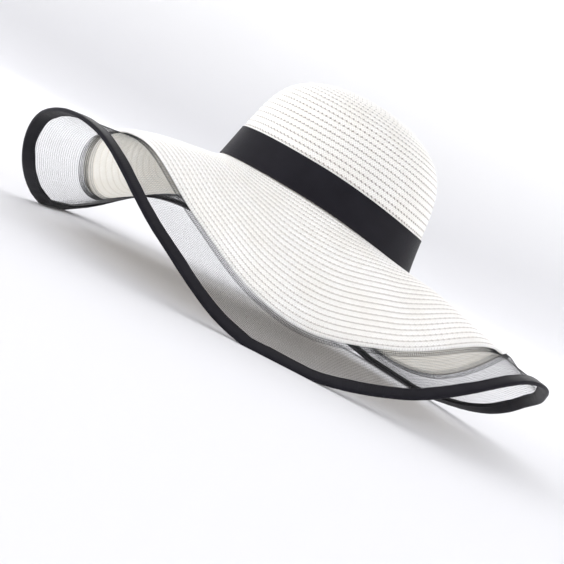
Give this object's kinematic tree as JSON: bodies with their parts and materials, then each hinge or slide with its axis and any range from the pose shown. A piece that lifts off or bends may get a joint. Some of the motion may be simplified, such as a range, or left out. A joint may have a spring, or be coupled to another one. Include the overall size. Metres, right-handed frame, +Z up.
{
  "type": "floppy straw sun hat",
  "caption": "Wide-brimmed floppy straw hat with a domed crown, ribbon band, sheer net border and ribbon-bound wavy edge, resting on its brim.",
  "frame": {"origin": "centre of the bounding box's bottom face, on the surface that the brim edge rests on", "axes": "+X towards the back of the hat, along the longest extent; +Y towards its far side; +Z up, the shortest extent"},
  "size_m": [0.5076, 0.4632, 0.2203],
  "materials": {
    "straw_braid": "matt, rows of sewn paper-straw braid",
    "ribbon": "matt fine-ribbed grosgrain",
    "net": "sheer fine net"
  },
  "bodies": {
    "root": {"crown": "straw_braid", "straw_brim": "straw_braid", "hat_band": "ribbon", "mesh_border": "net", "edge_binding": "ribbon"}
  },
  "joints": []
}
